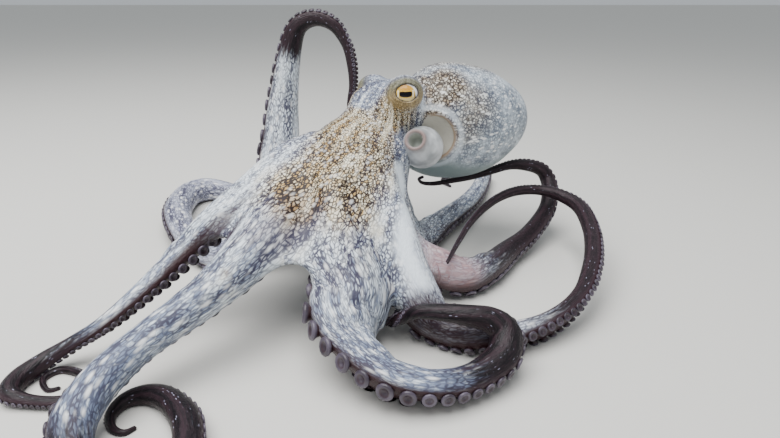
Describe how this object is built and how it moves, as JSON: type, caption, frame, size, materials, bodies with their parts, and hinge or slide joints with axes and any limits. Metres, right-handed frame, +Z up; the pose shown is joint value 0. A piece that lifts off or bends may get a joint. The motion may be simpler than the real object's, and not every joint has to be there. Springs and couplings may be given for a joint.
{
  "type": "octopus",
  "caption": "Common octopus crawling on a level floor, head and mantle raised, arms spread, their ends coiled or lifted in loops.",
  "frame": {"origin": "centre of the outline on the floor the arms rest on", "axes": "+X to the viewer's right in the pictured view, +Y away from the viewer, +Z up"},
  "size_m": [0.4756, 0.608, 0.239],
  "materials": {
    "skin": "wet skin, netted brown and white over golden tan, blue-grey below, purple-brown towards the arm tips",
    "eye": "glossy gold iris with a level black slit pupil"
  },
  "bodies": {
    "root": {"arm_left_1_base": "skin", "arm_left_1_middle": "skin", "arm_left_1_outer": "skin", "arm_left_1_tip": "skin", "arm_left_2_base": "skin", "arm_left_2_middle": "skin", "arm_left_2_outer": "skin", "arm_left_2_tip": "skin", "arm_left_3_base": "skin", "arm_left_3_middle": "skin", "arm_left_3_outer": "skin", "arm_left_3_tip": "skin", "arm_left_4_base": "skin", "arm_left_4_middle": "skin", "arm_left_4_outer": "skin", "arm_left_4_tip": "skin", "arm_right_1_base": "skin", "arm_right_1_middle": "skin", "arm_right_1_outer": "skin", "arm_right_1_tip": "skin", "arm_right_2_base": "skin", "arm_right_2_middle": "skin", "arm_right_2_outer": "skin", "arm_right_2_tip": "skin", "arm_right_3_base": "skin", "arm_right_3_middle": "skin", "arm_right_3_outer": "skin", "arm_right_3_tip": "skin", "arm_right_4_base": "skin", "arm_right_4_middle": "skin", "arm_right_4_outer": "skin", "arm_right_4_tip": "skin", "crown": "skin", "eye_left": "eye", "eye_right": "eye", "funnel": "skin", "head": "skin", "mantle": "skin", "web_front": "skin", "web_left_1_2": "skin", "web_left_2_3": "skin", "web_left_3_4": "skin", "web_rear": "skin", "web_right_1_2": "skin", "web_right_2_3": "skin", "web_right_3_4": "skin"}
  },
  "joints": []
}
